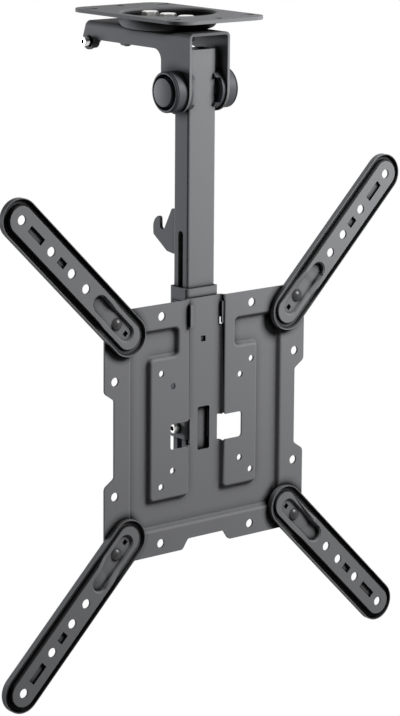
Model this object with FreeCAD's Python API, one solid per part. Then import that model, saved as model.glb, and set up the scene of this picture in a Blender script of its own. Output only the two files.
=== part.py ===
import FreeCAD, Part
import math
import os

os.makedirs("parts", exist_ok=True)

# A ceiling mount for a television. A pressed plate screws to the ceiling. A channel swivels under it.
# A drop tube folds up between the legs of the channel. A sleeve slides on the tube and carries the
# screen plate with its four swinging arms.
# The origin is the centre of the ceiling plate's top face, on the swivel axis. X is to the right,
# Y to the rear and Z up, and the screen faces the front.

# Fits
running_gap = 0.05
loose_gap = 0.3
slide_gap = 0.5

# Ceiling plate
ceiling_wide = 100.0
ceiling_long = 158.0
ceiling_corner_r = 18.0
ceiling_sheet = 3.0
dish_r = 43.0
dish_draft = 0.5
dish_bend_r = 7.0
dish_rim_bend_r = 3.0
dish_drop = 13.3
screw_slot_inset_x = 10.0
screw_slot_inset_y = 21.0
screw_slot_wide = 7.0
screw_slot_long = 14.0
edge_hole_inset = 11.0
edge_hole_r = 3.3

# Swivel bolts, M8
m8_r = 4.0
m8_flats = 13.0
m8_head = 5.3
m8_nut = 6.5
m8_washer_r = 8.0
m8_washer = 1.6
m8_spring_r = 6.6
m8_spring = 2.1
m8_spring_gap = 1.5
swivel_bolt_pitch = 25.0
swivel_turn = 40.0

# Channel under the ceiling plate
channel_wide = 44.2
channel_wall = 2.5
channel_bend_r = 4.5
channel_rear_y = 88.2
channel_side_deep = 16.1
leg_half = 19.6
leg_fillet_r = 10.0
ear_y = 85.6
ear_z = -30.8
ear_r = 8.3
ear_fillet_r = 1.5

# Fold pivot, M10
pivot_y = -37.8
pivot_z = -63.8
m10_r = 5.0
m10_flats = 17.0
m10_head = 6.4
m10_thin_nut = 5.0
m10_washer_r = 10.0
m10_washer = 1.6
cup_r = 17.7
cup_deep = 11.7
cup_bore_r = 15.4
cup_base = 2.0
cup_groove_r = 17.0
cup_groove = 0.8
cup_bead = 1.6
cover_r = 12.3
cover_bore_r = 10.3
cover_proud = 2.8
cover_dome = 0.9
bush_r = 17.8
bush_bore_r = 13.6
bush_hub_r = 9.0
bush_clear = 1.0
bush_recess = 2.4
claw_long = 3.6
claw_half_low = 10.9

# Latch bolts, M5, that hold the tube when it is folded up
m5_r = 2.5
m5_head_r = 4.25
m5_head = 5.0
m5_socket_flats = 4.0
latch_y = 84.0
latch_z = -31.4
latch_proud = 7.3
latch_tip_gap = 0.8
ear_hole_r = 5.0
weld_nut_r = 6.5
weld_nut = 4.5

# Screws of the arms, M6
m6_r = 3.0

# Drop tube and its hook bracket
tube_wide = 30.0
tube_deep = 20.0
tube_wall = 2.0
tube_corner_r = 2.2
tube_top_z = -28.5
tube_bottom_z = -446.6
tube_slot_wide = 6.5
tube_slot_top_z = -185.1
tube_slot_end = 9.0
hook_sheet = 3.0
hook_wide = 19.0
throat_gap = 0.6

# Sleeve on the tube
sleeve_wall = 2.0
sleeve_corner_r = 3.5
sleeve_top = 118.3
sleeve_bottom = -15.0
sleeve_heel_r = 5.0

# Height lock bolt, M5
m5_washer_r = 5.0
m5_washer = 1.0
m5_flats = 8.0
m5_nut = 4.0
lock_bolt_z = -6.0

# Screen plate, in its own frame with the hole pattern's centre at zero
vesa_z = -352.5
sheet = 2.0
plate_half = 110.8
plate_top = 110.5
plate_bottom = -110.0
waist_half = 100.5
waist_low = 34.0
waist_high = 41.0
notch_half = 26.0
notch_floor_half = 20.0
notch_deep = 9.0
recess_deep = 4.4
recess_wall_run = 2.5
frame_half = 84.0
frame_top = 89.0
frame_bottom = -88.0
strip_half = 20.0
left_panel_half = 61.2
right_panel_half = 56.0
panel_bottom = -61.0
panel_top = 62.5
panel_neck_half = 30.8
side_window_in = 15.2
side_window_out = 40.0
side_window_top = 4.0
side_window_bottom = -19.0
strip_window_half = 6.6
strip_window_top = 13.5
strip_window_bottom = -25.0
small_hole_x = -0.9
small_hole_z = 73.7
small_hole_side = 5.0
large_hole_r = 3.9
fine_hole_r = 2.8
arm_pivot = 100.0

# Hanger bracket between the sleeve and the screen plate
hanger_sheet = 2.0
hanger_top = 106.0
hanger_rear_top = 96.0
hanger_bottom = 78.0
hanger_hook_top = 104.6
hanger_hook_bottom = 90.5
hanger_hook_front = 0.5
hanger_lip_low = 85.5
hanger_lip_deep = 2.0
slit_bottom = 84.0
slit_top = 105.0
slit_gap = 0.3

# Swinging arms
arm_r = 17.8
arm_tail = 15.8
arm_reach = 141.4
arm_lip = 5.2
arm_lip_wall = 2.0
arm_rise = 7.0
arm_ridge_half = 11.5
arm_ridge_foot = 1.3
arm_hole_r = 4.1
arm_holes = (50.0, 70.7, 100.0, 141.4)
arm_pad_half = 8.0
arm_pad_foot = 2.0
arm_pad_near = -12.0
arm_pad_far = 29.5
arm_pockets = ((121.3, 18.5), (85.1, 9.0))
arm_pocket_wide = 6.2
arm_pocket_deep = 2.4
arm_square_s = -13.0
arm_square_side = 4.2
arm_head_r = 5.6
arm_head = 3.2
arm_nut_flats = 10.0
arm_nut = 5.0

# Sizes that follow from those above
channel_half = channel_wide / 2
channel_inner = channel_half - channel_wall
channel_top_z = -dish_drop
web_under_z = channel_top_z - channel_wall
channel_front_y = pivot_y - leg_half
channel_low_z = channel_top_z - channel_side_deep
dish_floor_z = channel_top_z + ceiling_sheet
sleeve_wide = tube_wide + 2 * (slide_gap + sleeve_wall)
sleeve_deep = tube_deep + 2 * (slide_gap + sleeve_wall)
tube_slot_bottom_z = tube_bottom_z + tube_slot_end
latch_head_in = channel_half + latch_proud - m5_head
latch_tip_x = hook_wide / 2 + latch_tip_gap
vesa_y = pivot_y - sleeve_deep / 2 - recess_deep - sheet / 2
front = -sheet / 2
recess_front = front + recess_deep
recess_back = recess_front + sheet
sleeve_y = recess_back + sleeve_deep / 2


def vector(x, y, z):
    return FreeCAD.Vector(x, y, z)


def box(x, y, z):
    low = vector(min(x), min(y), min(z))
    return Part.makeBox(max(x) - low.x, max(y) - low.y, max(z) - low.z, low)


def rod(radius, start, end):
    run = end - start
    return Part.makeCylinder(radius, run.Length, start, run)


def ring(outer, inner, start, end):
    return rod(outer, start, end).cut(rod(inner, start, end))


def prism(points, run):
    wire = Part.makePolygon(points + [points[0]])
    return Part.Face(wire).extrude(run)


def hexagon(flats, start, end, turn=0.0):
    """A six-sided prism along X or Z between two points."""
    radius = flats / math.sqrt(3)
    run = end - start
    along_z = abs(run.z) > abs(run.x)
    corners = []
    for step in range(6):
        angle = math.radians(60 * step + turn)
        across = radius * math.cos(angle)
        up = radius * math.sin(angle)
        offset = vector(across, up, 0) if along_z else vector(0, across, up)
        corners.append(start + offset)
    return prism(corners, run)


def hex_head(flats, start, end, turn=0.0):
    """A hexagon whose outer corners are turned off at the end face."""
    run = end - start
    unit = run / run.Length
    corner_r = flats / math.sqrt(3)
    skirt = run.Length + corner_r
    cone = Part.makeCone(flats / 2 * 0.95 + skirt * 1.7, flats / 2 * 0.95, skirt, end - unit * skirt, unit)
    return hexagon(flats, start, end, turn).common(cone)


def socket_head(radius, flats, start, end):
    """A round head with a hexagon socket in its end face and a turned edge."""
    run = end - start
    unit = run / run.Length
    chamfer = 0.6
    body = rod(radius, start, end - unit * chamfer)
    edge = Part.makeCone(radius, radius - chamfer, chamfer, end - unit * chamfer, unit)
    socket = hexagon(flats, end - unit * flats * 0.6, end + unit)
    return body.fuse(edge).cut(socket).removeSplitter()


def dome(radius, height, base, unit):
    """A spherical cap that stands on a flat round base."""
    ball_r = (radius * radius + height * height) / (2 * height)
    ball = Part.makeSphere(ball_r, base + unit * (height - ball_r))
    return ball.common(rod(radius, base, base + unit * (height + 1)))


def turned_points(points, inset):
    """Moves every side of a closed outline inwards, and says which corners point outwards."""
    count = len(points)
    area = sum(points[i - 1][0] * points[i][1] - points[i][0] * points[i - 1][1] for i in range(count))
    side = 1 if area > 0 else -1
    moved = []
    outward = []
    for i in range(count):
        (ax, az), (bx, bz), (cx, cz) = points[i - 1], points[i], points[(i + 1) % count]
        first = math.hypot(bx - ax, bz - az)
        second = math.hypot(cx - bx, cz - bz)
        ux, uz = (bx - ax) / first, (bz - az) / first
        vx, vz = (cx - bx) / second, (cz - bz) / second
        cross = ux * vz - uz * vx
        shift = inset * side
        moved.append((bx + shift * (vx - ux) / cross, bz + shift * (vz - uz) / cross))
        outward.append(cross * side > 0)
    return moved, outward


def rounded_wire(points, radii, y, inset=0.0):
    """A closed outline in the plane at depth y, with an arc at every corner."""
    moved, outward = turned_points(points, inset)
    count = len(moved)
    starts = []
    middles = []
    ends = []
    for i in range(count):
        radius = radii[i] - inset if outward[i] else radii[i] + inset
        here = vector(moved[i][0], y, moved[i][1])
        back = vector(moved[i - 1][0], y, moved[i - 1][1]) - here
        ahead = vector(moved[(i + 1) % count][0], y, moved[(i + 1) % count][1]) - here
        back = back / back.Length
        ahead = ahead / ahead.Length
        half = back.getAngle(ahead) / 2
        tangent = radius / math.tan(half)
        middle = (back + ahead) / (back + ahead).Length
        starts.append(here + back * tangent)
        ends.append(here + ahead * tangent)
        middles.append(here + middle * (radius / math.sin(half) - radius))
    edges = []
    for i in range(count):
        edges.append(Part.makeLine(ends[i - 1], starts[i]))
        edges.append(Part.Arc(starts[i], middles[i], ends[i]).toShape())
    return Part.Wire(edges)


def pressed(points, radii, near, far, inset):
    """A volume whose outline shrinks evenly from one depth to another."""
    wires = [rounded_wire(points, radii, near), rounded_wire(points, radii, far, inset)]
    return Part.makeLoft(wires, True, True)


def flat(points, radii, near, far):
    return Part.Face(rounded_wire(points, radii, near)).extrude(vector(0, far - near, 0))


def obround_wire(low, high, radius, y):
    """Two half circles joined by straight sides, centred on the X axis."""
    upper = Part.makeLine(vector(low, y, radius), vector(high, y, radius))
    right = Part.Arc(vector(high, y, radius), vector(high + radius, y, 0), vector(high, y, -radius)).toShape()
    lower = Part.makeLine(vector(high, y, -radius), vector(low, y, -radius))
    left = Part.Arc(vector(low, y, -radius), vector(low - radius, y, 0), vector(low, y, radius)).toShape()
    return Part.Wire([upper, right, lower, left])


def obround(low, high, near, far, near_r, far_r):
    wires = [obround_wire(low, high, near_r, near), obround_wire(low, high, far_r, far)]
    return Part.makeLoft(wires, True, True)


def square_tube(wide, deep, radius, y, low, high):
    """A solid bar with rounded upright edges."""
    bar = box((-wide / 2, wide / 2), (y - deep / 2, y + deep / 2), (low, high))
    upright = [edge for edge in bar.Edges if abs(edge.tangentAt(edge.FirstParameter).z) > 0.9]
    return bar.makeFillet(radius, upright)


def both_sides(shape):
    """The shape and its mirror image in the plane X = 0."""
    return shape, shape.mirror(vector(0, 0, 0), vector(1, 0, 0))


def save(name, shape):
    shape.exportStep("parts/" + name + ".step")


def save_group(name, shapes):
    save(name, Part.makeCompound(shapes))


def on_carriage(shape):
    """Moves a shape from the screen plate's own frame to its place."""
    moved = shape.copy()
    moved.translate(vector(0, vesa_y, vesa_z))
    return moved


def rounded_drum(radius, deep, bend_r):
    """A drum that hangs from Z = 0, narrows a little downwards and has a rounded lower edge."""
    drum = Part.makeCone(radius, radius - dish_draft, deep, vector(0, 0, 0), vector(0, 0, -1))
    lower = [edge for edge in drum.Edges if abs(edge.BoundBox.ZMax + deep) < 0.01]
    return drum.makeFillet(bend_r, lower)


def ceiling_plate():
    half_x = ceiling_wide / 2
    half_y = ceiling_long / 2
    blank = box((-half_x, half_x), (-half_y, half_y), (-ceiling_sheet, 0))
    corners = [edge for edge in blank.Edges if abs(edge.tangentAt(edge.FirstParameter).z) > 0.9]
    blank = blank.makeFillet(ceiling_corner_r, corners)
    shell = rounded_drum(dish_r, dish_drop, dish_bend_r)
    bowl = rounded_drum(dish_r - ceiling_sheet, dish_drop - ceiling_sheet, dish_bend_r - ceiling_sheet)
    plate = blank.fuse(shell).removeSplitter().cut(bowl)
    rim = []
    for edge in plate.Edges:
        flat_ring = edge.BoundBox.ZLength < 0.01 and abs(edge.BoundBox.ZMax) < 0.01
        if flat_ring and abs(edge.BoundBox.XMax - dish_r + ceiling_sheet) < 0.01:
            rim.append(edge)
    plate = plate.makeFillet(dish_rim_bend_r, rim)
    below = vector(0, 0, -dish_drop - 1)
    plate = plate.cut(rod(m8_r + running_gap, below, vector(0, 0, 1)))
    slot_half = m8_r + loose_gap
    for side in (1, -1):
        outer = rod(swivel_bolt_pitch + slot_half, below, vector(0, 0, 1))
        arc = outer.cut(rod(swivel_bolt_pitch - slot_half, below, vector(0, 0, 1)))
        reach = 2 * ceiling_long
        sweep = math.radians(swivel_turn)
        left = vector(-reach * math.sin(sweep), side * reach * math.cos(sweep), below.z)
        right = vector(reach * math.sin(sweep), side * reach * math.cos(sweep), below.z)
        arc = arc.common(prism([vector(0, 0, below.z), left, right], vector(0, 0, dish_drop + 2)))
        for end in (-sweep, sweep):
            x = swivel_bolt_pitch * math.sin(end)
            y = side * swivel_bolt_pitch * math.cos(end)
            arc = arc.fuse(rod(slot_half, vector(x, y, below.z), vector(x, y, 1)))
        plate = plate.cut(arc)
    for side in (1, -1):
        y = side * (half_y - edge_hole_inset)
        plate = plate.cut(rod(edge_hole_r, vector(0, y, -ceiling_sheet - 1), vector(0, y, 1)))
        for flank in (1, -1):
            x = flank * (half_x - screw_slot_inset_x)
            y = side * (half_y - screw_slot_inset_y)
            run = (screw_slot_long - screw_slot_wide) / 2
            radius = screw_slot_wide / 2
            deep = (-ceiling_sheet - 1, 1)
            slot = box((x - run, x + run), (y - radius, y + radius), deep)
            for end in (x - run, x + run):
                slot = slot.fuse(rod(radius, vector(end, y, deep[0]), vector(end, y, deep[1])))
            plate = plate.cut(slot)
    save("ceiling_plate", plate.removeSplitter())


def bent_channel_section():
    """The upside-down U of the channel, over its full length and height."""
    reach = (channel_front_y - 1, ear_y + 2 * ear_r)
    low = pivot_z - 2 * leg_half
    outer = box((-channel_half, channel_half), reach, (low, channel_top_z))
    inner = box((-channel_inner, channel_inner), reach, (low, web_under_z))
    sections = []
    for bar, radius in ((outer, channel_bend_r), (inner, channel_bend_r - channel_wall)):
        top = bar.BoundBox.ZMax
        bends = []
        for edge in bar.Edges:
            centre = edge.CenterOfMass
            if abs(centre.z - top) < 0.01 and abs(centre.x) > 1:
                bends.append(edge)
        sections.append(bar.makeFillet(radius, bends))
    return sections[0].cut(sections[1])


def channel_side_view():
    """The channel as seen from the side: beam, leg with a round end, and ear for the latch."""
    wide = (-channel_half - 1, channel_half + 1)
    left = wide[0]
    right = wide[1]
    # The rear edge runs straight from the top corner and touches the ear's round.
    across = channel_rear_y - ear_y
    rise = channel_top_z - ear_z
    turn = math.atan2(rise, across) - math.acos(ear_r / math.hypot(across, rise))
    touch = (ear_y + ear_r * math.cos(turn), ear_z + ear_r * math.sin(turn))
    outline = [
        (channel_front_y, channel_low_z), (channel_front_y, channel_top_z), (channel_rear_y, channel_top_z),
        touch, (ear_y, ear_z), (ear_y, channel_low_z)]
    beam = prism([vector(left, y, z) for y, z in outline], vector(right - left, 0, 0))
    leg = box(wide, (channel_front_y, pivot_y + leg_half), (pivot_z, channel_top_z))
    foot = rod(leg_half, vector(left, pivot_y, pivot_z), vector(right, pivot_y, pivot_z))
    ear = rod(ear_r, vector(left, ear_y, ear_z), vector(right, ear_y, ear_z))
    side = beam.fuse([leg, foot, ear]).removeSplitter()
    knee = []
    ear_corners = []
    for edge in side.Edges:
        centre = edge.CenterOfMass
        along_x = abs(edge.tangentAt(edge.FirstParameter).x) > 0.99
        if not along_x:
            continue
        if abs(centre.y - pivot_y - leg_half) < 0.01 and abs(centre.z - channel_low_z) < 0.01:
            knee.append(edge)
        ear_distance = math.hypot(centre.y - ear_y, centre.z - ear_z)
        if abs(ear_distance - ear_r) < 0.01 and centre.y < ear_y:
            ear_corners.append(edge)
    side = side.makeFillet(leg_fillet_r, knee)
    ear_edges = []
    for edge in side.Edges:
        for corner in ear_corners:
            if (edge.CenterOfMass - corner.CenterOfMass).Length < 0.01:
                ear_edges.append(edge)
    return side.makeFillet(ear_fillet_r, ear_edges)


def top_channel():
    channel = bent_channel_section().common(channel_side_view())
    across = (-channel_half - 1, channel_half + 1)
    pivot = rod(m10_r + running_gap, vector(across[0], pivot_y, pivot_z), vector(across[1], pivot_y, pivot_z))
    latch = rod(ear_hole_r, vector(across[0], latch_y, latch_z), vector(across[1], latch_y, latch_z))
    channel = channel.cut(pivot).cut(latch)
    for y in (-swivel_bolt_pitch, 0, swivel_bolt_pitch):
        low = vector(0, y, web_under_z - 1)
        channel = channel.cut(rod(m8_r + loose_gap, low, vector(0, y, channel_top_z + 1)))
    save("top_channel", channel.removeSplitter())


def swivel_bolt(y):
    seat = dish_floor_z + m8_washer + m8_spring
    head = hex_head(m8_flats, vector(0, y, seat), vector(0, y, seat + m8_head), 30)
    tip_z = web_under_z - m8_washer - m8_nut - 1
    shank = rod(m8_r, vector(0, y, tip_z), vector(0, y, seat))
    return head.fuse(shank).removeSplitter()


def swivel_fasteners():
    rows = (-swivel_bolt_pitch, 0, swivel_bolt_pitch)
    washers = []
    nuts = []
    for y in rows:
        floor = vector(0, y, dish_floor_z)
        spring_foot = floor + vector(0, 0, m8_washer)
        washers.append(ring(m8_washer_r, m8_r + loose_gap, floor, spring_foot))
        spring = ring(m8_spring_r, m8_r + loose_gap, spring_foot, spring_foot + vector(0, 0, m8_spring))
        gap = m8_spring_gap / 2
        split = box((0, m8_washer_r), (y - gap, y + gap), (spring_foot.z - 1, spring_foot.z + m8_spring + 1))
        washers.append(spring.cut(split))
        under = vector(0, y, web_under_z)
        seat = under - vector(0, 0, m8_washer)
        washers.append(ring(m8_washer_r, m8_r + loose_gap, under, seat))
        nut = hex_head(m8_flats, seat, seat - vector(0, 0, m8_nut), 30)
        nuts.append(nut.cut(rod(m8_r, seat, seat - vector(0, 0, m8_nut))))
    save("swivel_pivot_bolt", swivel_bolt(0))
    save_group("swivel_lock_bolts", [swivel_bolt(-swivel_bolt_pitch), swivel_bolt(swivel_bolt_pitch)])
    save_group("swivel_washers", washers)
    save_group("swivel_nuts", nuts)


def fold_pivot():
    face = channel_half
    seat = face + cup_base
    at = vector(0, pivot_y, pivot_z)
    out = vector(1, 0, 0)
    end = seat + m10_washer + m10_head
    shank = rod(m10_r, at - out * (seat + m10_washer), at + out * (seat + m10_washer + m10_thin_nut + 1))
    head = hex_head(m10_flats, at - out * (seat + m10_washer), at - out * end)
    save("fold_pivot_bolt", shank.fuse(head).removeSplitter())
    nut_at = at + out * (seat + m10_washer)
    nut = hex_head(m10_flats, nut_at, nut_at + out * m10_thin_nut)
    save("fold_pivot_nut", nut.cut(rod(m10_r, nut_at, nut_at + out * m10_thin_nut)))
    washer = ring(m10_washer_r, m10_r + loose_gap, at + out * seat, nut_at)
    save_group("fold_pivot_washers", both_sides(washer))

    base = at + out * face
    rim = base + out * cup_deep
    cup = rod(cup_r, base, rim)
    lip = Part.makeCone(cup_r, cup_r - 1, 1, rim - out, out)
    cup = cup.cut(rod(cup_r, rim - out, rim)).fuse(lip)
    cup = cup.cut(rod(cup_bore_r, base + out * cup_base, rim + out))
    cup = cup.cut(rod(m10_r + loose_gap, base - out, rim))
    groove_start = rim - out * (cup_bead + cup_groove)
    cup = cup.cut(ring(cup_r + 1, cup_groove_r, groove_start, rim - out * cup_bead)).removeSplitter()
    cover_base = base + out * cup_base
    cover_top = rim + out * (cover_proud - cover_dome)
    cover = rod(cover_r, cover_base, cover_top).fuse(dome(cover_r, cover_dome, cover_top, out))
    cover = cover.cut(rod(cover_bore_r, cover_base, cover_base + out * (m10_washer + m10_head + 0.2)))
    cover = cover.removeSplitter()
    for name, shape in (("pivot_cup", cup), ("pivot_cover", cover)):
        right, left = both_sides(shape)
        save(name + "_right", right)
        save(name + "_left", left)

    # Each bush is a ring on a hub. Four claws on the ring grip the front and rear of the tube.
    tube_side = at + out * (tube_wide / 2)
    face = tube_side + out * bush_clear
    wall = at + out * channel_inner
    tips = tube_side - out * claw_long
    bush = rod(bush_r, face, wall).cut(rod(bush_bore_r, face, face + out * bush_recess))
    bush = bush.fuse(rod(bush_hub_r, tube_side, wall))
    claws = ring(bush_r, bush_bore_r, tips, face + out * 0.5)
    reach = (tips.x - 1, wall.x)
    deep = 2 * bush_r
    grip = tube_deep / 2 + running_gap
    middle = box(reach, (pivot_y - deep, pivot_y + deep), (pivot_z - claw_half_low, pivot_z + claw_half_low))
    between = box(reach, (pivot_y - grip, pivot_y + grip), (pivot_z - deep, pivot_z + deep))
    bush = bush.fuse(claws.cut(middle).cut(between))
    bush = bush.cut(rod(m10_r + running_gap, tips - out, wall + out)).removeSplitter()
    right, left = both_sides(bush)
    save("friction_bush_right", right)
    save("friction_bush_left", left)


def latch_bolts():
    at = vector(0, latch_y, latch_z)
    out = vector(1, 0, 0)
    neck = latch_head_in
    shank = rod(m5_r, at + out * (latch_tip_x + 0.5), at + out * neck)
    tip = Part.makeCone(m5_r - 0.5, m5_r, 0.5, at + out * latch_tip_x, out)
    head = socket_head(m5_head_r, m5_socket_flats, at + out * neck, at + out * (neck + m5_head))
    right, left = both_sides(shank.fuse([tip, head]).removeSplitter())
    save("latch_bolt_right", right)
    save("latch_bolt_left", left)
    inside = at + out * (channel_inner - weld_nut)
    nut = rod(weld_nut_r, inside, at + out * channel_inner)
    nut = nut.cut(rod(m5_r + running_gap, inside - out, at + out * (channel_inner + 1)))
    save_group("latch_weld_nuts", both_sides(nut))


def drop_tube():
    tube = square_tube(tube_wide, tube_deep, tube_corner_r, pivot_y, tube_bottom_z, tube_top_z)
    inner_r = tube_corner_r - tube_wall + 0.5
    bore = square_tube(
        tube_wide - 2 * tube_wall, tube_deep - 2 * tube_wall, inner_r, pivot_y,
        tube_bottom_z - 1, tube_top_z + 1)
    across = vector(tube_wide, 0, 0)
    pivot = vector(0, pivot_y, pivot_z)
    tube = tube.cut(bore).cut(rod(m10_r + running_gap, pivot - across, pivot + across))
    radius = tube_slot_wide / 2
    low = tube_slot_bottom_z + radius
    high = tube_slot_top_z - radius
    slot = box((-tube_wide, tube_wide), (pivot_y - radius, pivot_y + radius), (low, high))
    for z in (low, high):
        end = vector(0, pivot_y, z)
        slot = slot.fuse(rod(radius, end - across, end + across))
    save("drop_tube", tube.cut(slot).removeSplitter())


def hook_bracket():
    """Two hook plates on a common back, measured from the fold pivot. Folded up, the open throats
    sit on the latch axis."""
    throat_y = latch_z - pivot_z
    throat_z = pivot_y - latch_y
    throat_r = m5_r + throat_gap
    root = tube_deep / 2
    top = -103.2
    bottom = -144.3
    slope = math.radians(210.5)
    touch = (throat_y + throat_r * math.cos(slope), throat_z + throat_r * math.sin(slope))
    floor = (throat_y, throat_z - throat_r)
    rise = (throat_y + throat_r, throat_z)

    def at(x, point):
        return vector(x, pivot_y + point[0], pivot_z + point[1])

    x = hook_wide / 2
    line = (root, top), (19.8, top - 1.9), touch
    edges = [Part.makeLine(at(x, line[i]), at(x, line[i + 1])) for i in range(2)]
    edges.append(Part.Arc(at(x, touch), at(x, floor), at(x, rise)).toShape())
    inner = (rise[0] + 0.3, -115.2)
    crest = (40.6, -114.9)
    edges.append(Part.makeLine(at(x, rise), at(x, inner)))
    outer = (45.6, -124.5)
    edges.append(Part.Arc(at(x, inner), at(x, (38.4, -114.0)), at(x, crest)).toShape())
    edges.append(Part.Arc(at(x, crest), at(x, (44.3, -119.0)), at(x, outer)).toShape())
    tail = outer, (45.2, -130.8), (26.3, -143.3), (18.0, bottom), (root, bottom), (root, top)
    edges += [Part.makeLine(at(x, tail[i]), at(x, tail[i + 1])) for i in range(len(tail) - 1)]
    profile = Part.Face(Part.Wire(edges))
    right = profile.extrude(vector(-hook_sheet, 0, 0))
    plates = both_sides(right)
    back = box((-x, x), (pivot_y + root, pivot_y + root + hook_sheet), (pivot_z + bottom, pivot_z + top))
    save("hook_bracket", back.fuse(list(plates)).removeSplitter())


def sleeve():
    outer = square_tube(sleeve_wide, sleeve_deep, sleeve_corner_r, sleeve_y, sleeve_bottom, sleeve_top)
    bore = square_tube(
        tube_wide + 2 * slide_gap, tube_deep + 2 * slide_gap, sleeve_corner_r - sleeve_wall + 0.3, sleeve_y,
        sleeve_bottom - 1, sleeve_top + 1)
    body = outer.cut(bore)
    rear = sleeve_y + sleeve_deep / 2
    heel = box(
        (-sleeve_wide, sleeve_wide), (rear - sleeve_heel_r, rear + 1),
        (sleeve_bottom - 1, sleeve_bottom + sleeve_heel_r))
    centre = vector(0, rear - sleeve_heel_r, sleeve_bottom + sleeve_heel_r)
    across = vector(sleeve_wide, 0, 0)
    body = body.cut(heel.cut(rod(sleeve_heel_r, centre - across, centre + across)))
    window = box(
        (-strip_window_half, strip_window_half), (recess_back - 1, recess_back + sleeve_wall + 0.2),
        (sleeve_bottom - 1, strip_window_top))
    bolt = vector(0, sleeve_y, lock_bolt_z)
    body = body.cut(window).cut(rod(m5_r + 0.2, bolt - across, bolt + across))
    save("sleeve", on_carriage(body.removeSplitter()))


def height_lock():
    at = vector(0, sleeve_y, lock_bolt_z)
    out = vector(1, 0, 0)
    side = sleeve_wide / 2
    seat = side + m5_washer
    shank = rod(m5_r, at - out * seat, at + out * (seat + m5_nut + 1))
    head = socket_head(m5_head_r, m5_socket_flats, at - out * seat, at - out * (seat + m5_head))
    save("height_lock_bolt", on_carriage(shank.fuse(head).removeSplitter()))
    washer = ring(m5_washer_r, m5_r + 0.2, at + out * side, at + out * seat)
    save_group("height_lock_washers", [on_carriage(shape) for shape in both_sides(washer)])
    nut = hex_head(m5_flats, at + out * seat, at + out * (seat + m5_nut))
    save("height_lock_nut", on_carriage(nut.cut(rod(m5_r, at + out * seat, at + out * (seat + m5_nut)))))


def hanger_bracket():
    """A U that is welded round the sleeve, with a hook on each flange for a slit in the plate."""
    inner = sleeve_wide / 2
    rear = sleeve_y + sleeve_deep / 2
    front_edge = recess_back + 0.7
    undercut = sleeve_y - 4
    lip = hanger_hook_front + hanger_lip_deep
    outline = [
        (rear + hanger_sheet, hanger_bottom), (front_edge, hanger_bottom), (front_edge, slit_bottom),
        (undercut, slit_bottom), (undercut, hanger_hook_bottom), (lip, hanger_hook_bottom),
        (lip, hanger_lip_low), (hanger_hook_front, hanger_lip_low), (hanger_hook_front, hanger_hook_top),
        (front_edge, hanger_hook_top), (front_edge, hanger_top), (undercut, hanger_top),
        (rear + hanger_sheet, hanger_rear_top)]
    flange = prism([vector(inner, y, z) for y, z in outline], vector(hanger_sheet, 0, 0))
    web = box((-inner, inner), (rear, rear + hanger_sheet), (hanger_bottom, hanger_rear_top))
    bracket = web.fuse(list(both_sides(flange))).removeSplitter()
    save("hanger_bracket", on_carriage(bracket))


def plate_outline():
    side = [
        (plate_half, plate_top), (plate_half, waist_high), (waist_half, waist_low),
        (waist_half, -waist_low), (plate_half, -waist_high), (plate_half, plate_bottom),
        (notch_half, plate_bottom), (notch_floor_half, plate_bottom + notch_deep)]
    radii = [10.0, 5.0, 3.0, 3.0, 5.0, 10.0, 4.0, 3.0]
    other = [(-x, z) for x, z in reversed(side)]
    return side + other, radii + radii[::-1]


def recess_outline():
    """The sunken band: the centre strip, the bar under the panels and an L on each side."""
    above = plate_top + 4 * recess_wall_run
    left = [
        (-strip_half, above), (-strip_half, panel_bottom), (-left_panel_half, panel_bottom),
        (-left_panel_half, panel_top), (-panel_neck_half, panel_top), (-panel_neck_half, frame_top),
        (-frame_half, frame_top), (-frame_half, frame_bottom)]
    right = [
        (frame_half, frame_bottom), (frame_half, frame_top), (panel_neck_half, frame_top),
        (panel_neck_half, panel_top), (right_panel_half, panel_top), (right_panel_half, panel_bottom),
        (strip_half, panel_bottom), (strip_half, above)]
    radii = [5.0, 3.0, 3.0, 3.0, 5.0, 5.0, 7.0, 7.0]
    return left + right, radii + radii[::-1]


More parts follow.
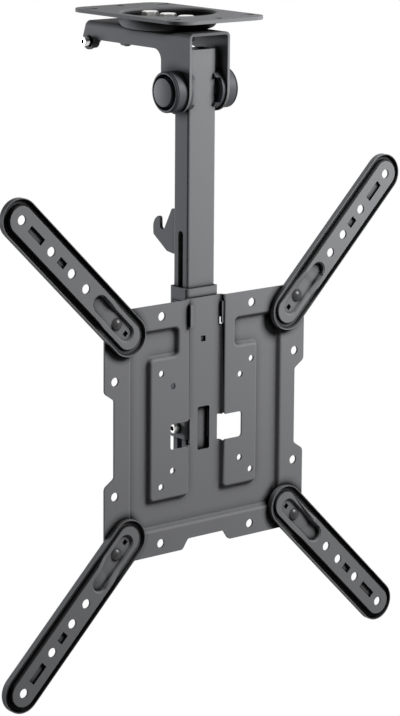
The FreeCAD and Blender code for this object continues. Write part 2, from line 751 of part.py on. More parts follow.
def vesa_plate():
    outline, corner_radii = plate_outline()
    blank = flat(outline, corner_radii, front, -front)
    band, band_radii = recess_outline()
    # The wall leans, so the back of the band is wider than the front by this much.
    lean = sheet * (math.hypot(recess_wall_run, recess_deep) - recess_wall_run) / recess_deep
    wide_band, outward = turned_points(band, -lean)
    wide_radii = [radius + lean if turns else radius - lean for radius, turns in zip(band_radii, outward)]
    raised = pressed(wide_band, wide_radii, -front, recess_back, recess_wall_run)
    bounds = flat(outline, corner_radii, front, recess_back)
    hollow = pressed(band, band_radii, front, recess_front, recess_wall_run)
    plate = blank.fuse(raised.common(bounds)).cut(hollow)

    def hole(radius, x, z):
        return rod(radius, vector(x, front - 1, z), vector(x, recess_back + 1, z))

    cuts = []
    for x_side in (-1, 1):
        for z_side in (-1, 1):
            for x, z, radius in (
                    (50, 50, fine_hole_r), (37.5, 37.5, fine_hole_r), (50, 100, large_hole_r),
                    (100, 50, large_hole_r), (arm_pivot, arm_pivot, m6_r + running_gap)):
                cuts.append(hole(radius, x_side * x, z_side * z))
    deep = (front - 1, recess_back + 1)
    window_high = (side_window_bottom, side_window_top)
    for side in (-1, 1):
        window = box((side * side_window_in, side * side_window_out), deep, window_high)
        outer_corners = []
        for edge in window.Edges:
            outer = abs(abs(edge.CenterOfMass.x) - side_window_out) < 0.01
            if outer and abs(edge.tangentAt(edge.FirstParameter).y) > 0.9:
                outer_corners.append(edge)
        cuts.append(window.makeFillet(3, outer_corners))
        for z in window_high:
            cuts.append(hole(1.2, side * strip_half, z))
        slit = (side * (sleeve_wide / 2 - slit_gap), side * (sleeve_wide / 2 + hanger_sheet + slit_gap))
        cuts.append(box(slit, deep, (slit_bottom, slit_top)))
    strip_window = box((-strip_window_half, strip_window_half), deep, (strip_window_bottom, strip_window_top))
    rounded = [edge for edge in strip_window.Edges if abs(edge.tangentAt(edge.FirstParameter).y) > 0.9]
    cuts.append(strip_window.makeFillet(2, rounded))
    small = small_hole_side / 2
    cuts.append(box(
        (small_hole_x - small, small_hole_x + small), deep, (small_hole_z - small, small_hole_z + small)))
    save("vesa_plate", on_carriage(plate.cut(cuts).removeSplitter()))


def arm():
    """One pressed arm along +X with its pivot at zero, lying on the screen plate's front."""
    floor = front - sheet
    lip = front - arm_lip
    ridge = front - arm_rise
    tray = obround(-arm_tail, arm_reach, front, lip, arm_r, arm_r)
    inner_r = arm_r - arm_lip_wall
    tray = tray.cut(obround(-arm_tail, arm_reach, floor, lip - 1, inner_r, inner_r))
    foot_half = arm_ridge_half + arm_ridge_foot
    slope = arm_ridge_foot / (arm_rise - sheet)
    ridge_outer = obround(-arm_tail, arm_reach, floor, ridge, foot_half, arm_ridge_half)
    under_half = foot_half - sheet + slope * sheet
    top_half = arm_ridge_half - sheet + slope * sheet
    hollow = obround(-arm_tail, arm_reach, front, ridge + sheet, under_half, top_half)
    pad_slope = arm_pad_foot / (arm_rise - sheet)
    pad_floor_half = arm_pad_half - arm_pad_foot
    pad_shell = obround(
        arm_pad_near, arm_pad_far, front, ridge + sheet,
        pad_floor_half + sheet - pad_slope * sheet, arm_pad_half + sheet - pad_slope * sheet)
    body = tray.fuse(ridge_outer).cut(hollow.cut(pad_shell))
    pad = obround(arm_pad_near, arm_pad_far, floor, ridge, pad_floor_half, arm_pad_half)
    body = body.cut(pad)
    half = arm_pocket_wide / 2
    for centre, length in arm_pockets:
        wall = 1.4
        reach = length / 2
        cup = box(
            (centre - reach - wall, centre + reach + wall), (ridge + sheet, ridge + arm_pocket_deep + sheet),
            (-half - wall, half + wall))
        pocket = box((centre - reach, centre + reach), (ridge - 1, ridge + arm_pocket_deep), (-half, half))
        body = body.fuse(cup).cut(pocket)
    for place in arm_holes:
        body = body.cut(rod(arm_hole_r, vector(place, ridge - 1, 0), vector(place, front + 1, 0)))
    body = body.cut(rod(m6_r + running_gap, vector(0, ridge, 0), vector(0, front + 1, 0)))
    small = arm_square_side / 2
    body = body.cut(box(
        (arm_square_s - small, arm_square_s + small), (floor - 1, front + 1), (-small, small)))
    return body.removeSplitter()


def arms_and_bolts():
    shape = arm()
    floor = front - sheet
    corners = (("top_left", -1, 1), ("top_right", 1, 1), ("bottom_left", -1, -1), ("bottom_right", 1, -1))
    bolts = []
    nuts = []
    for name, x_side, z_side in corners:
        turn = math.degrees(math.atan2(-z_side, x_side))
        placed = shape.copy()
        placed.rotate(vector(0, 0, 0), vector(0, 1, 0), turn)
        x = x_side * arm_pivot
        z = z_side * arm_pivot
        placed.translate(vector(x, 0, z))
        save("arm_" + name, on_carriage(placed))
        seat = vector(x, floor, z)
        back = vector(x, -front, z)
        head = dome(arm_head_r, arm_head, seat, vector(0, -1, 0))
        shank = rod(m6_r, seat, back + vector(0, arm_nut + 1, 0))
        bolts.append(on_carriage(head.fuse(shank).removeSplitter()))
        nut = hexagon(arm_nut_flats, vector(0, 0, 0), vector(0, 0, arm_nut))
        nut.rotate(vector(0, 0, 0), vector(1, 0, 0), -90)
        nut.translate(back)
        nuts.append(on_carriage(nut.cut(rod(m6_r, back, back + vector(0, arm_nut, 0)))))
    save_group("arm_pivot_bolts", bolts)
    save_group("arm_pivot_nuts", nuts)


ceiling_plate()
top_channel()
swivel_fasteners()
fold_pivot()
latch_bolts()
drop_tube()
hook_bracket()
sleeve()
height_lock()
hanger_bracket()
vesa_plate()
arms_and_bolts()
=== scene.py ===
import math

import bmesh
import bpy
from mathutils import Matrix, Vector


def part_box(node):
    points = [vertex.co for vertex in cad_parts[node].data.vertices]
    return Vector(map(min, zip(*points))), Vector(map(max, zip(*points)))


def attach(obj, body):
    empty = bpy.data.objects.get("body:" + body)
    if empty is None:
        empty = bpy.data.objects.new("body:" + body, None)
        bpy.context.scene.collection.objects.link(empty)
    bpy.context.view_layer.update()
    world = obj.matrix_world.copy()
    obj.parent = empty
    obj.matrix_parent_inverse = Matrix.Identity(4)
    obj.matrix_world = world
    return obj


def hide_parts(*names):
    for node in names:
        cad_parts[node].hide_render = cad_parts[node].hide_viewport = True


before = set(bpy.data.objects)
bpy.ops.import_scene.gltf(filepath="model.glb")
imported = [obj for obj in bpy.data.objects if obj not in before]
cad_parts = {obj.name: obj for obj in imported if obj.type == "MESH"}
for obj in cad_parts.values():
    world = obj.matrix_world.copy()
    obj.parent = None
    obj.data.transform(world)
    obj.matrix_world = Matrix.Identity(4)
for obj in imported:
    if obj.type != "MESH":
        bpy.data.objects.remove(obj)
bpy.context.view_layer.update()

# The ceiling plate is a square of pressed steel with a round dish in the middle. Four slots and two
# holes take the ceiling screws. It is cut and pressed in one blow, and its edges are slightly rounded
# before it gets its black powder coat.


def piece_from(shape, name):
    """Turn a finished shape into a piece of the scene."""
    mesh = bpy.data.meshes.new(name)
    shape.to_mesh(mesh)
    shape.free()
    piece = bpy.data.objects.new(name, mesh)
    bpy.context.scene.collection.objects.link(piece)
    return piece


def even_normals(piece):
    """Let the wide faces set the shading, so that they look flat beside rounded edges."""
    evening = piece.modifiers.new("even_normals", "WEIGHTED_NORMAL")
    evening.weight = 100
    evening.keep_sharp = True


def rounded_copy(node, edge, fold=None, angle=32.0, crease=None, reshape=None):
    """A copy of a solid with joined triangles. Cut edges are rounded by edge, pressed folds by fold.

    The rounding of the cut edges stays below the piece's shortest edge. Edges that turn by more than
    angle are rounded, and the shading breaks at crease, or else at angle.
    """
    same_place = 2e-6
    nearly_flat = math.radians(0.6)
    fold_from, fold_to = 45.0, 76.0
    shape = bmesh.new()
    shape.from_mesh(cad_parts[node].data)
    bmesh.ops.remove_doubles(shape, verts=shape.verts, dist=same_place)
    if reshape:
        reshape(shape)
    bmesh.ops.dissolve_limit(
        shape, angle_limit=nearly_flat, use_dissolve_boundaries=False,
        verts=shape.verts, edges=shape.edges)
    if crease:
        bmesh.ops.triangulate(shape, faces=[face for face in shape.faces if len(face.verts) > 4])
    if fold:
        folds = [
            line for line in shape.edges if fold_from < math.degrees(line.calc_face_angle(0.0)) < fold_to]
        bmesh.ops.bevel(
            shape, geom=folds, offset=fold, segments=3, profile=0.5, affect="EDGES", material=-1,
            clamp_overlap=False, loop_slide=False)
    for face in shape.faces:
        face.smooth = True
    piece = piece_from(shape, node + "_finished")
    piece.data.set_sharp_from_angle(angle=math.radians(crease or angle))
    rounding = piece.modifiers.new("edges", "BEVEL")
    rounding.width = edge
    rounding.segments = 2
    rounding.limit_method = "ANGLE"
    rounding.angle_limit = math.radians(angle)
    rounding.miter_outer = "MITER_ARC"
    even_normals(piece)
    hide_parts(node)
    return piece


def finish_piece(piece, material, body):
    """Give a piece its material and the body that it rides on."""
    piece.data.materials.clear()
    piece.data.materials.append(material)
    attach(piece, body)


def new_material(name):
    """A material, with its nodes, its links and its main shader."""
    material = bpy.data.materials.new(name)
    material.use_nodes = True
    tree = material.node_tree
    return material, tree.nodes, tree.links, tree.nodes["Principled BSDF"]


def coat_grain_group():
    """The fine orange peel of a powder coat, with a slow drift in how it takes the light."""
    group = bpy.data.node_groups.new("powder_grain", "ShaderNodeTree")
    group.interface.new_socket("Grain Size", in_out="INPUT", socket_type="NodeSocketFloat")
    group.interface.new_socket("Height", in_out="OUTPUT", socket_type="NodeSocketFloat")
    group.interface.new_socket("Drift", in_out="OUTPUT", socket_type="NodeSocketFloat")
    nodes = group.nodes
    start = nodes.new("NodeGroupInput")
    end = nodes.new("NodeGroupOutput")
    place = nodes.new("ShaderNodeTexCoord")
    peel = nodes.new("ShaderNodeTexNoise")
    peel.inputs["Detail"].default_value = 3.0
    peel.inputs["Roughness"].default_value = 0.6
    drift = nodes.new("ShaderNodeTexNoise")
    drift.inputs["Scale"].default_value = 9.0
    drift.inputs["Detail"].default_value = 2.0
    group.links.new(place.outputs["Object"], peel.inputs["Vector"])
    group.links.new(place.outputs["Object"], drift.inputs["Vector"])
    group.links.new(start.outputs["Grain Size"], peel.inputs["Scale"])
    group.links.new(peel.outputs["Fac"], end.inputs["Height"])
    group.links.new(drift.outputs["Fac"], end.inputs["Drift"])
    return group


def crevice_group():
    """How open a spot lies, and a painted shade for the colour, from Least where it is closed in up to
    one in the open.
    """
    group = bpy.data.node_groups.new("painted_crevice_shade", "ShaderNodeTree")
    for socket in ("Reach", "Closed", "Open", "Least"):
        group.interface.new_socket(socket, in_out="INPUT", socket_type="NodeSocketFloat")
    for socket in ("Openness", "Shade"):
        group.interface.new_socket(socket, in_out="OUTPUT", socket_type="NodeSocketFloat")
    nodes = group.nodes
    start = nodes.new("NodeGroupInput")
    end = nodes.new("NodeGroupOutput")
    around = nodes.new("ShaderNodeAmbientOcclusion")
    around.samples = 8
    shade = nodes.new("ShaderNodeMapRange")
    group.links.new(start.outputs["Reach"], around.inputs["Distance"])
    group.links.new(start.outputs["Closed"], shade.inputs["From Min"])
    group.links.new(start.outputs["Open"], shade.inputs["From Max"])
    group.links.new(start.outputs["Least"], shade.inputs["To Min"])
    group.links.new(around.outputs["AO"], shade.inputs["Value"])
    group.links.new(around.outputs["AO"], end.inputs["Openness"])
    group.links.new(shade.outputs["Result"], end.inputs["Shade"])
    return group


powder_grain = coat_grain_group()
painted_crevice_shade = crevice_group()


def coated_steel(name, reach, closed):
    """Powder-coated steel: two close greys, a satin sheen, a fine grain, and painted shade in its
    crevices.

    The painted shade darkens the colour by what stands within reach, down to nearly black at an openness
    of closed.
    """
    material, nodes, links, shader = new_material(name)
    shader.inputs["Specular IOR Level"].default_value = 0.03
    coat = nodes.new("ShaderNodeGroup")
    coat.node_tree = powder_grain
    coat.inputs["Grain Size"].default_value = 1400.0
    colour = nodes.new("ShaderNodeMix")
    colour.data_type = "RGBA"
    colour.inputs["A"].default_value = (0.195, 0.197, 0.204, 1.0)
    colour.inputs["B"].default_value = (0.217, 0.219, 0.227, 1.0)
    sheen = nodes.new("ShaderNodeMapRange")
    sheen.inputs["To Min"].default_value = 0.45
    sheen.inputs["To Max"].default_value = 0.55
    bump = nodes.new("ShaderNodeBump")
    bump.inputs["Strength"].default_value = 0.10
    bump.inputs["Distance"].default_value = 0.0002
    # Painted shade: the coat's colour darkens where the surface is closed in, as shade would fall there.
    crevice = nodes.new("ShaderNodeGroup")
    crevice.node_tree = painted_crevice_shade
    crevice.inputs["Reach"].default_value = reach
    crevice.inputs["Closed"].default_value = closed
    crevice.inputs["Open"].default_value = 0.95
    crevice.inputs["Least"].default_value = 0.03
    darkened = nodes.new("ShaderNodeVectorMath")
    darkened.operation = "SCALE"
    links.new(coat.outputs["Drift"], colour.inputs["Factor"])
    links.new(colour.outputs["Result"], darkened.inputs["Vector"])
    links.new(crevice.outputs["Shade"], darkened.inputs["Scale"])
    links.new(darkened.outputs["Vector"], shader.inputs["Base Color"])
    links.new(coat.outputs["Height"], sheen.inputs["Value"])
    links.new(sheen.outputs["Result"], shader.inputs["Roughness"])
    links.new(coat.outputs["Height"], bump.inputs["Height"])
    links.new(bump.outputs["Normal"], shader.inputs["Normal"])
    return material


# The main coat paints shade into crevices within 10 mm. Its second copy paints shade from what stands up
# to 45 mm away, darkening the ceiling plate's dish and the hanger bracket behind the screen plate.
black_coat = coated_steel("black_coat", reach=0.010, closed=0.55)
coat_far_painted_shade = coated_steel("coat_far_painted_shade", reach=0.045, closed=0.55)
finish_piece(rounded_copy("ceiling_plate", edge=0.0006), coat_far_painted_shade, "ceiling")

# Three zinc-plated hexagon bolts hold the channel under the dish, with washers on both sides and nuts
# below. The middle bolt is the swivel and the outer two clamp it in their curved slots.


def plated_steel(name, colour, roughness):
    """Plated steel: bare metal with a faint mottling from the bath, and painted shade that darkens it
    where it is closed in.
    """
    material, nodes, links, shader = new_material(name)
    shader.inputs["Metallic"].default_value = 1.0
    place = nodes.new("ShaderNodeTexCoord")
    bath = nodes.new("ShaderNodeTexNoise")
    bath.inputs["Scale"].default_value = 260.0
    bath.inputs["Detail"].default_value = 4.0
    sheen = nodes.new("ShaderNodeMapRange")
    sheen.inputs["To Min"].default_value = roughness - 0.08
    sheen.inputs["To Max"].default_value = roughness + 0.10
    # Painted shade: the metal's colour darkens where it is closed in, as shade would fall there.
    crevice = nodes.new("ShaderNodeGroup")
    crevice.node_tree = painted_crevice_shade
    crevice.inputs["Reach"].default_value = 0.004
    crevice.inputs["Closed"].default_value = 0.5
    crevice.inputs["Open"].default_value = 1.0
    crevice.inputs["Least"].default_value = 0.05
    light = nodes.new("ShaderNodeMath")
    light.operation = "MULTIPLY"
    painted_shade_colour = nodes.new("ShaderNodeVectorMath")
    painted_shade_colour.operation = "SCALE"
    painted_shade_colour.inputs["Vector"].default_value = colour
    links.new(crevice.outputs["Openness"], light.inputs[0])
    links.new(crevice.outputs["Shade"], light.inputs[1])
    links.new(light.outputs["Value"], painted_shade_colour.inputs["Scale"])
    links.new(painted_shade_colour.outputs["Vector"], shader.inputs["Base Color"])
    links.new(place.outputs["Object"], bath.inputs["Vector"])
    links.new(bath.outputs["Fac"], sheen.inputs["Value"])
    links.new(sheen.outputs["Result"], shader.inputs["Roughness"])
    return material


bright_zinc = plated_steel("bright_zinc", (0.78, 0.78, 0.76), roughness=0.3)
for node in ("swivel_pivot_bolt", "swivel_lock_bolts", "swivel_washers", "swivel_nuts"):
    finish_piece(rounded_copy(node, edge=0.0002), bright_zinc, "swivel_frame")

# The channel is folded from one strip of thick steel into an upside-down U. Its front ends reach down
# as legs for the fold pivot, and round ears at the rear carry the latch bolts in weld nuts.

finish_piece(rounded_copy("top_channel", edge=0.0005), black_coat, "swivel_frame")
finish_piece(rounded_copy("latch_weld_nuts", edge=0.0002), black_coat, "swivel_frame")

# The fold pivot is a bolt through both legs and the tube. Each end sits in a moulded black cup with a
# domed cover over the bolt head, and friction bushes fill the space beside the tube.


def moulded_plastic(name, colour, roughness, gloss):
    """A smooth black skin with a faint, very fine grain."""
    material, nodes, links, shader = new_material(name)
    shader.inputs["Base Color"].default_value = (*colour, 1.0)
    shader.inputs["Specular IOR Level"].default_value = gloss
    place = nodes.new("ShaderNodeTexCoord")
    mould = nodes.new("ShaderNodeTexNoise")
    mould.inputs["Scale"].default_value = 1800.0
    mould.inputs["Detail"].default_value = 2.0
    sheen = nodes.new("ShaderNodeMapRange")
    sheen.inputs["To Min"].default_value = roughness - 0.05
    sheen.inputs["To Max"].default_value = roughness + 0.07
    bump = nodes.new("ShaderNodeBump")
    bump.inputs["Strength"].default_value = 0.12
    bump.inputs["Distance"].default_value = 0.0001
    links.new(place.outputs["Object"], mould.inputs["Vector"])
    links.new(mould.outputs["Fac"], sheen.inputs["Value"])
    links.new(sheen.outputs["Result"], shader.inputs["Roughness"])
    links.new(mould.outputs["Fac"], bump.inputs["Height"])
    links.new(bump.outputs["Normal"], shader.inputs["Normal"])
    return material


pivot_plastic = moulded_plastic("pivot_plastic", (0.085, 0.088, 0.098), roughness=0.5, gloss=0.15)
for side in ("left", "right"):
    for node, edge, body in (
            ("pivot_cup_", 0.0005, "swivel_frame"), ("pivot_cover_", 0.0004, "swivel_frame"),
            ("friction_bush_", 0.0003, "tube")):
        finish_piece(rounded_copy(node + side, edge), pivot_plastic, body)
for node in ("fold_pivot_bolt", "fold_pivot_nut", "fold_pivot_washers"):
    finish_piece(rounded_copy(node, edge=0.0002), bright_zinc, "swivel_frame")

# The latch bolts are zinc-plated socket screws, one in each ear. They stand backed out, so that their
# necks show, and are screwed in through the hook's throats once the tube is folded up.


def ribbed_rod(shape, start, end, ring_gap, sides, radius_at):
    """A rod between two points. radius_at gives its radius from the place along and around it."""
    blank_radius = 0.001
    run = end - start
    rod = bmesh.new()
    bmesh.ops.create_cone(
        rod, cap_ends=True, segments=sides, radius1=blank_radius, radius2=blank_radius,
        depth=run.length)
    long_edges = [line for line in rod.edges if line.calc_length() > run.length / 2]
    bmesh.ops.subdivide_edges(rod, edges=long_edges, cuts=int(run.length / ring_gap), use_grid_fill=True)
    for vert in rod.verts:
        around = math.atan2(vert.co.y, vert.co.x)
        along = min(max(vert.co.z + run.length / 2, 0.0), run.length)
        radius = radius_at(along, around, run.length)
        vert.co.x = radius * math.cos(around)
        vert.co.y = radius * math.sin(around)
    bmesh.ops.rotate(rod, verts=rod.verts, cent=(0, 0, 0), matrix=run.to_track_quat("Z", "Y").to_matrix())
    bmesh.ops.translate(rod, verts=rod.verts, vec=(start + end) / 2)
    spare = bpy.data.meshes.new("rod")
    rod.to_mesh(spare)
    rod.free()
    shape.from_mesh(spare)
    bpy.data.meshes.remove(spare)


def threaded_latch(side):
    """Slim the screw's plain shank and wrap an M5 thread round it."""
    pitch, core, rise = 0.0008, 0.00203, 0.00046
    ring_gap, sides = 0.0001, 24
    head_deep = 0.005
    shank_share = 0.8
    hair = 0.0001
    low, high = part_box("latch_bolt_" + side)
    middle = (low + high) / 2
    sign = -1.0 if side == "left" else 1.0
    neck = sign * (max(abs(low.x), abs(high.x)) - head_deep)
    tip = sign * min(abs(low.x), abs(high.x))

    def thread(along, around, length):
        turn = (along / pitch - around / (2 * math.pi)) % 1.0
        return core + rise * (1.0 - abs(2.0 * turn - 1.0)) * min(1.0, (length - along) / pitch)

    def reshape(shape):
        for vert in shape.verts:
            if abs(vert.co.x) < abs(neck) - hair:
                vert.co.y = middle.y + (vert.co.y - middle.y) * shank_share
                vert.co.z = middle.z + (vert.co.z - middle.z) * shank_share
        ribbed_rod(
            shape, Vector((neck, middle.y, middle.z)), Vector((tip, middle.y, middle.z)),
            ring_gap, sides, thread)
    return reshape


for side in ("left", "right"):
    finish_piece(
        rounded_copy("latch_bolt_" + side, edge=0.0002, angle=60.0, reshape=threaded_latch(side)),
        bright_zinc, side + "_latch")

# The drop tube is square steel tube with a long slot in each side for the height lock bolt. The hook
# bracket is a folded plate with two hooks, welded to the tube's rear.

finish_piece(rounded_copy("drop_tube", edge=0.0003), black_coat, "tube")
finish_piece(rounded_copy("hook_bracket", edge=0.0004), black_coat, "tube")


def weld_bead(along, around, length):
    """The radius of a weld bead, with its ripples and its rounded ends."""
    radius, ripple_height, ripple_gap, lag, blunt = 0.0012, 0.09, 0.0013, 0.0003, 0.05
    ripple = math.sin(2 * math.pi * (along + lag * math.cos(around)) / ripple_gap)
    close = min(along, length - along) / radius
    return radius * (1.0 + ripple_height * ripple) * math.sqrt(min(1.0, close + blunt))


def weld_piece(name, runs, body):
    """Fillet welds under the black coat, one rippled bead for each run."""
    ring_gap, sides = 0.00025, 12
    shape = bmesh.new()
    for start, end in runs:
        ribbed_rod(shape, Vector(start), Vector(end), ring_gap, sides, weld_bead)
    for face in shape.faces:
        face.smooth = True
    finish_piece(piece_from(shape, name), black_coat, body)


bracket_low, bracket_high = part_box("hook_bracket")
weld_row = bracket_low.y + 0.0003
weld_lift = 0.0002
weld_foot, weld_head = bracket_low.z + 0.004, bracket_high.z - 0.005
weld_piece("hook_welds", [
    ((x, weld_row, weld_foot), (x, weld_row, weld_head))
    for x in (bracket_low.x - weld_lift, bracket_high.x + weld_lift)], "tube")

# The sleeve is a short square tube that slides on the drop tube. A folded hanger bracket is welded
# round it, and its two hooks come forward through slits in the screen plate.

# A copy of the coat whose painted shade reaches only 4 mm, for the sleeve.
coat_near_painted_shade = coated_steel("coat_near_painted_shade", reach=0.004, closed=0.55)
finish_piece(rounded_copy("sleeve", edge=0.0003), coat_near_painted_shade, "carriage")
finish_piece(rounded_copy("hanger_bracket", edge=0.0003), coat_far_painted_shade, "carriage")
hanger_low, hanger_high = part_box("hanger_bracket")
sleeve_low, sleeve_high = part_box("sleeve")
weld_inset = 0.004
weld_piece("hanger_welds", [
    ((x, sleeve_low.y + weld_inset, z), (x, sleeve_high.y - weld_inset, z))
    for x in (sleeve_low.x, sleeve_high.x) for z in (hanger_low.z, hanger_high.z)], "carriage")

# The height lock is a zinc-plated socket screw through the sleeve and the tube's slots, with a black
# washer under its head and a nut on the other side.

black_oxide = plated_steel("black_oxide", (0.06, 0.06, 0.065), roughness=0.42)
finish_piece(rounded_copy("height_lock_bolt", edge=0.0002), bright_zinc, "carriage")
finish_piece(rounded_copy("height_lock_nut", edge=0.0002), bright_zinc, "carriage")
finish_piece(rounded_copy("height_lock_washers", edge=0.0001), black_oxide, "carriage")

# The screen plate is pressed from one sheet. A sunken band runs down the middle and round the two
# panels, and holes for the common screen patterns are punched through it. The punch for the left slit
# also cuts into the fold beside it.


def punched(piece, low, high):
    """Punch one square-edged slit through a piece."""
    block = bmesh.new()
    bmesh.ops.create_cube(block, size=1.0)
    bmesh.ops.scale(block, verts=block.verts, vec=high - low)
    bmesh.ops.translate(block, verts=block.verts, vec=(low + high) / 2)
    punch = piece_from(block, "punch")
    cut = piece.modifiers.new("slit", "BOOLEAN")
    cut.operation = "DIFFERENCE"
    cut.solver = "EXACT"
    cut.object = punch
    bpy.context.view_layer.update()
    solid = piece.evaluated_get(bpy.context.evaluated_depsgraph_get())
    piece.data = bpy.data.meshes.new_from_object(solid)
    piece.modifiers.clear()
    even_normals(piece)
    bpy.data.meshes.remove(punch.data)
    return piece


# A copy of the coat whose painted shade turns black sooner, which paints the walls of the sunken band
# nearly black.
coat_plate_painted_shade = coated_steel("coat_plate_painted_shade", reach=0.009, closed=0.66)
slit_outside, slit_inside = -0.0212, -0.0176
slit_foot, slit_head = -0.2652, -0.2460
punch_front, punch_back = -0.06, -0.045
slotted_plate = punched(
    rounded_copy("vesa_plate", edge=0.0004, fold=0.0014),
    Vector((slit_outside, punch_front, slit_foot)), Vector((slit_inside, punch_back, slit_head)))
finish_piece(slotted_plate, coat_plate_painted_shade, "carriage")
plate_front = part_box("vesa_plate")[0].y
plate_level = -0.3525

# The four arms are pressed trays with a raised ridge that steps down towards the pivot. A domed black
# bolt in a sunken pad clamps each arm to the plate. The rim of the tray thins to a narrow crest.

arm_sheet = 0.003
arm_lip = 0.0052
arm_wide = 0.0356
arm_crest = 0.0007
arm_pivot_reach = 0.1
ridge_line = (-0.0158, 0.1414)
ridge_half_wide = 0.0132
ridge_high = 0.007
ridge_back = 0.004
ridge_drop = 0.65
step_near = 0.009
step_far = 0.021
pad_line = (-0.012, 0.0295)
pad_zone = 0.045
pad_front_half = 0.00805
pad_floor_half = 0.0078
pad_back_half = 0.0075
pad_rise = 0.0025
hair = 0.0001


def stepped_arm(pivot, along):
    """Lower the ridge and raise the pad's far half, so that both step down side by side."""
    across = Vector((along.z, 0.0, -along.x))

    def from_line(offset, line):
        reach = offset.dot(along)
        over = max(line[0] - reach, 0.0, reach - line[1])
        return math.hypot(over, offset.dot(across))

    def reshape(shape):
        for reach in (step_near, step_far):
            bmesh.ops.bisect_plane(
                shape, geom=shape.verts[:] + shape.edges[:] + shape.faces[:],
                plane_co=pivot + along * reach, plane_no=along)
        for vert in shape.verts:
            offset = vert.co - pivot
            reach = offset.dot(along)
            high = plate_front - vert.co.y
            lowered = min(max((step_far - reach) / (step_far - step_near), 0.0), 1.0)
            floor_lift = pad_rise * (1.0 - lowered)
            out_of_ridge = from_line(offset, ridge_line)
            out_of_pad = from_line(offset, pad_line)
            if reach < pad_zone and out_of_pad < pad_front_half and high > arm_sheet - hair:
                # the pad's floor and walls, on the front
                pad_floor = arm_sheet + floor_lift
                pad_rim = ridge_high - (ridge_high - arm_sheet) * ridge_drop * lowered
                share = (high - arm_sheet) / (ridge_high - arm_sheet)
                vert.co.y = plate_front - pad_floor - (pad_rim - pad_floor) * share
            elif reach < pad_zone and abs(out_of_pad - pad_back_half - high / 2) < hair:
                # the pad's walls, on the back
                vert.co.y -= floor_lift * (1.0 - high / ridge_back)
                vert.co.y += (ridge_back - arm_sheet) * ridge_drop * lowered * high / ridge_back
            elif high > arm_sheet + hair and out_of_ridge < ridge_half_wide:
                # the ridge, on both faces of the sheet
                vert.co.y += (high - arm_sheet) * ridge_drop * lowered
            elif reach < pad_zone and out_of_pad < pad_floor_half and high < hair:
                # the pad's floor, on the back
                vert.co.y -= floor_lift
            elif high > arm_sheet + hair and out_of_ridge < arm_wide / 2 - arm_crest:
                # the rim's inner wall, which leans out to the crest
                middle = along * min(max(reach, ridge_line[0]), ridge_line[1])
                outward = Vector((offset.x, 0.0, offset.z)) - middle
                lean = (high - arm_sheet) / (arm_lip - arm_sheet)
                vert.co += outward.normalized() * (arm_wide / 2 - arm_crest - outward.length) * lean
    return reshape


for corner, x_side, z_side in (
        ("top_left", -1, 1), ("top_right", 1, 1), ("bottom_left", -1, -1), ("bottom_right", 1, -1)):
    pivot = Vector((x_side * arm_pivot_reach, plate_front, z_side * arm_pivot_reach + plate_level))
    along = Vector((x_side, 0.0, z_side)).normalized()
    finish_piece(
        rounded_copy("arm_" + corner, edge=0.0003, crease=11.2, reshape=stepped_arm(pivot, along)),
        black_coat, corner + "_arm")
black_paint = moulded_plastic("black_paint", (0.035, 0.035, 0.038), roughness=0.3, gloss=0.4)
finish_piece(rounded_copy("arm_pivot_bolts", edge=0.0001), black_paint, "carriage")
finish_piece(rounded_copy("arm_pivot_nuts", edge=0.0002), bright_zinc, "carriage")

# The floor is a pale plane far below, as under a ceiling. It looks white to the camera and in
# reflections, so that the mount is seen on plain white.

floor_half_wide = 8.0
floor_level = -2.4
shape = bmesh.new()
bmesh.ops.create_grid(shape, x_segments=1, y_segments=1, size=floor_half_wide)
bmesh.ops.translate(shape, verts=shape.verts, vec=(0, 0, floor_level))
floor = piece_from(shape, "floor")
pale_floor, nodes, links, shader = new_material("pale_floor")
shader.inputs["Base Color"].default_value = (0.9, 0.9, 0.9, 1.0)
shader.inputs["Roughness"].default_value = 0.8
path = nodes.new("ShaderNodeLightPath")
shown = nodes.new("ShaderNodeMath")
shown.operation = "MAXIMUM"
white = nodes.new("ShaderNodeEmission")
white.inputs["Color"].default_value = (1.0, 1.0, 1.0, 1.0)
blend = nodes.new("ShaderNodeMixShader")
links.new(path.outputs["Is Camera Ray"], shown.inputs[0])
links.new(path.outputs["Is Glossy Ray"], shown.inputs[1])
links.new(shown.outputs["Value"], blend.inputs["Fac"])
links.new(shader.outputs["BSDF"], blend.inputs[1])
links.new(white.outputs["Emission"], blend.inputs[2])
links.new(blend.outputs["Shader"], nodes["Material Output"].inputs["Surface"])
floor.data.materials.append(pale_floor)

# The studio round the mount is white to the camera and in reflections too. Otherwise it gives only a
# faint even light, so that the lamps set the shading.

world = bpy.data.worlds.new("studio")
bpy.context.scene.world = world
world.use_nodes = True
nodes = world.node_tree.nodes
links = world.node_tree.links
soft = nodes["Background"]
soft.inputs["Color"].default_value = (1.0, 1.0, 1.0, 1.0)
soft.inputs["Strength"].default_value = 0.015
bright = nodes.new("ShaderNodeBackground")
bright.inputs["Color"].default_value = (1.0, 1.0, 1.0, 1.0)
bright.inputs["Strength"].default_value = 1.0
path = nodes.new("ShaderNodeLightPath")
glossy = nodes.new("ShaderNodeMath")
glossy.operation = "MAXIMUM"
shown = nodes.new("ShaderNodeMath")
shown.operation = "MAXIMUM"
blend = nodes.new("ShaderNodeMixShader")
links.new(path.outputs["Is Glossy Ray"], glossy.inputs[0])
links.new(path.outputs["Is Transmission Ray"], glossy.inputs[1])
links.new(path.outputs["Is Camera Ray"], shown.inputs[0])
links.new(glossy.outputs["Value"], shown.inputs[1])
links.new(shown.outputs["Value"], blend.inputs["Fac"])
links.new(soft.outputs["Background"], blend.inputs[1])
links.new(bright.outputs["Background"], blend.inputs[2])
links.new(blend.outputs["Shader"], nodes["World Output"].inputs["Surface"])

# Two round lamps light the mount: a soft key from the front right, and a slightly cooler fill from
# behind on the left for the sides that face away from the key.

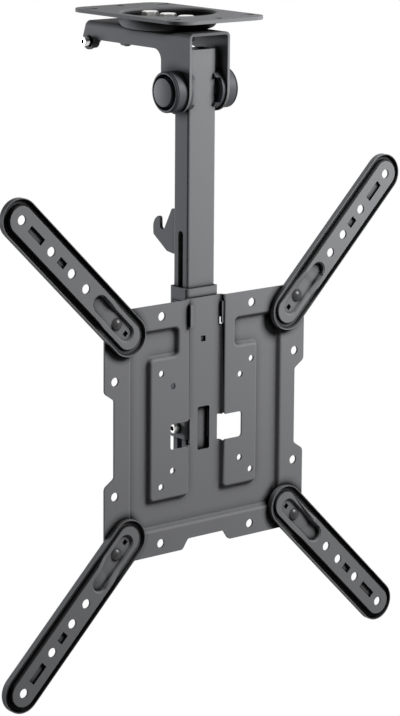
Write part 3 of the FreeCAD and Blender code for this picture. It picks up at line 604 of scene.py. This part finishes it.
lamp_aim = Vector((0.0, -0.06, -0.32))


def lamp(name, place, size, power, colour):
    """A round soft lamp that faces the mount's middle."""
    light = bpy.data.lights.new(name, "AREA")
    light.shape = "DISK"
    light.color = colour
    light.size = size
    light.energy = power
    holder = bpy.data.objects.new(name, light)
    bpy.context.scene.collection.objects.link(holder)
    holder.location = place
    holder.rotation_euler = (lamp_aim - Vector(place)).to_track_quat("-Z", "Y").to_euler()


lamp("key", (0.44, -0.69, 0.28), size=0.45, power=12.6, colour=(1.0, 1.0, 1.0))
lamp("rear_fill", (-0.62, 1.19, -0.2), size=0.6, power=15.5, colour=(0.94, 0.96, 1.0))

# The camera looks from the front left and slightly above. Its angle and lens are those of the photo, and
# its aim is the middle of the screen plate's front.

camera_azimuth = math.radians(-39.15)
camera_height = math.radians(9.58)
camera_roll = math.radians(0.40)
camera_distance = 2.3328
camera_offset = (-0.0052, 0.1926)
photo_high = 716.0
photo_focal = 2687.0
photo_axis_row = 200.0
sensor_wide = 36.0
camera_aim = Vector((0.0, plate_front + 0.001, plate_level))
out = Vector((
    math.sin(camera_azimuth) * math.cos(camera_height),
    -math.cos(camera_azimuth) * math.cos(camera_height),
    math.sin(camera_height)))
right = Vector((math.cos(camera_azimuth), math.sin(camera_azimuth), 0.0))
up = out.cross(right)
right, up = (
    right * math.cos(camera_roll) + up * math.sin(camera_roll),
    up * math.cos(camera_roll) - right * math.sin(camera_roll))
lens = bpy.data.cameras.new("camera")
lens.sensor_width = sensor_wide
lens.lens = photo_focal * sensor_wide / photo_high
lens.shift_y = (photo_axis_row - photo_high / 2) / photo_high
lens.clip_start = 0.05
camera = bpy.data.objects.new("camera", lens)
bpy.context.scene.collection.objects.link(camera)
turn = Matrix((right, up, out)).transposed().to_4x4()
place = camera_aim + out * camera_distance + right * camera_offset[0] + up * camera_offset[1]
camera.matrix_world = Matrix.Translation(place) @ turn
bpy.context.scene.camera = camera
bpy.context.scene.view_settings.view_transform = "Standard"

bpy.context.view_layer.update()
